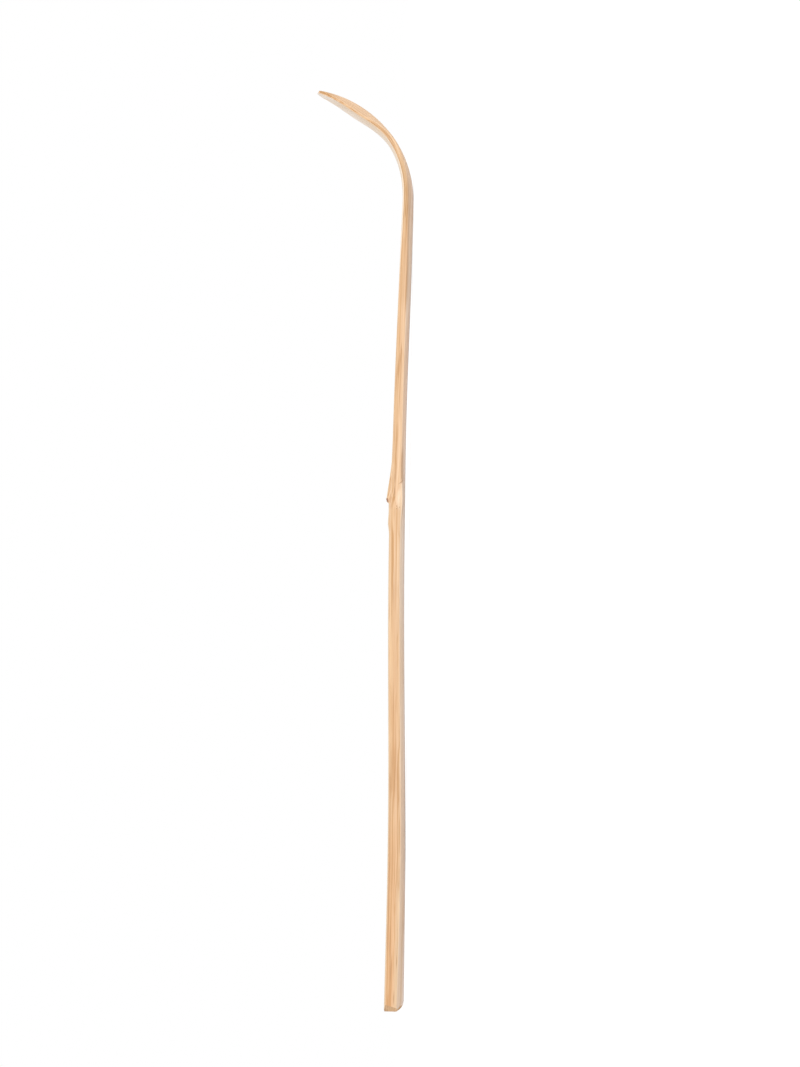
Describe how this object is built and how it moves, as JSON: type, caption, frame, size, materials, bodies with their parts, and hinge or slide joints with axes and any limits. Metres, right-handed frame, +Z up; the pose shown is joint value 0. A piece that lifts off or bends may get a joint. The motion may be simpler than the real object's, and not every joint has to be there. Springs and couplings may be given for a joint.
{
  "type": "bamboo tea scoop",
  "caption": "Slender bamboo scoop for powdered tea: flat-sided handle, raised node across the middle, thinned shaft and a heat-bent tip with a shallow bowl.",
  "frame": {"origin": "middle of the bounding box on the table, with the scoop lying on its back", "axes": "+X along the scoop from the cut end of the handle to the tip, +Y across, +Z up, front face up"},
  "size_m": [0.181, 0.0102, 0.0192],
  "materials": {
    "bamboo_flesh": "fine sanded",
    "bamboo_skin": "smooth natural skin",
    "node_scar": "smooth with a dark broken edge",
    "node_wood": "fine sanded"
  },
  "bodies": {
    "root": {"handle_flesh": "bamboo_flesh", "node_flesh": "bamboo_flesh", "scoop_flesh": "bamboo_flesh", "handle_skin": "bamboo_skin", "scoop_skin": "bamboo_skin", "node_ridge": "node_scar", "diaphragm_root": "node_wood"}
  },
  "joints": []
}
